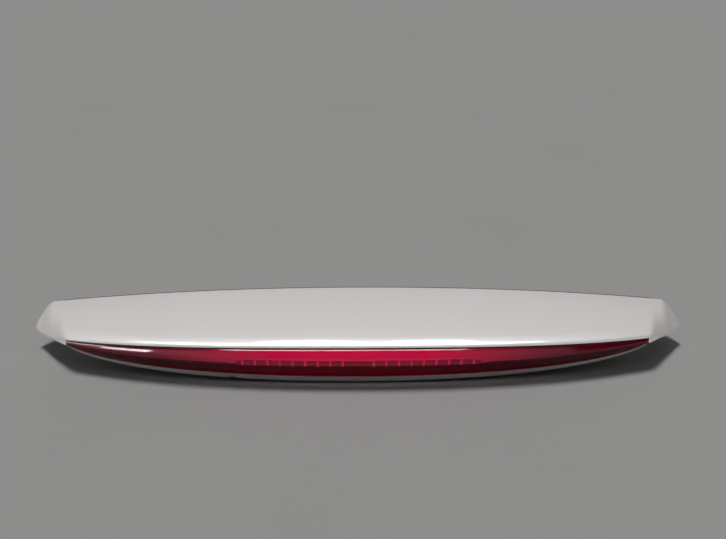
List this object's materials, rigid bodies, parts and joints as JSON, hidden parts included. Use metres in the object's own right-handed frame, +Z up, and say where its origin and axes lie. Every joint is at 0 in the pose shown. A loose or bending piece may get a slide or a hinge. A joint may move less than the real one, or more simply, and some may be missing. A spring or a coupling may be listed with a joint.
{
  "type": "car rear spoiler",
  "caption": "White tailgate spoiler with a full-width red stop lamp along its rear edge, turned-down end wings and studs underneath.",
  "frame": {"origin": "middle of the four mounting studs, in the plane of the pads that seat on the tailgate", "axes": "+X to the right seen from behind the car, +Y forward towards the leading edge, +Z up; the studs point along -Z"},
  "size_m": [1.1892, 0.1655, 0.0927],
  "materials": {
    "skin_paint": "white gloss paint on moulded ABS",
    "lens_red": "clear red acrylic, polished",
    "housing_plastic": "dark grey moulded plastic",
    "mirror_coat": "mirror coating on moulded plastic",
    "clear_optic": "clear ribbed acrylic",
    "board_laminate": "green solder mask on laminate",
    "dark_plastic": "black moulded plastic",
    "contact_brass": "tinned contact blades",
    "diode_lens": "yellow phosphor under clear resin",
    "seal_foam": "closed-cell foam",
    "seal_rubber": "soft moulded rubber",
    "clip_nylon": "natural nylon",
    "zinc_steel": "zinc-plated steel"
  },
  "bodies": {
    "root": {"upper_skin": "skin_paint", "lower_skin": "skin_paint", "lamp_lens": "lens_red", "lamp_housing": "housing_plastic", "lamp_reflector": "mirror_coat", "inner_optic": "clear_optic", "led_board": "board_laminate", "board_resistors": "dark_plastic", "lamp_connector": "dark_plastic", "connector_pins": "contact_brass", "lamp_gasket": "seal_foam", "lamp_screws": "zinc_steel", "left_stud_plate": "zinc_steel", "right_stud_plate": "zinc_steel", "pad_seals": "seal_foam", "push_clips": "clip_nylon", "skin_screws": "zinc_steel", "front_seal": "seal_rubber", "shelf_foam": "seal_foam", "left_end_pad": "seal_rubber", "right_end_pad": "seal_rubber", "led_01": "diode_lens", "led_02": "diode_lens", "led_03": "diode_lens", "led_04": "diode_lens", "led_05": "diode_lens", "led_06": "diode_lens", "led_07": "diode_lens", "led_08": "diode_lens", "led_09": "diode_lens", "led_10": "diode_lens", "led_11": "diode_lens", "led_12": "diode_lens", "led_13": "diode_lens", "led_14": "diode_lens", "led_15": "diode_lens", "led_16": "diode_lens", "led_17": "diode_lens", "led_18": "diode_lens"}
  },
  "joints": []
}
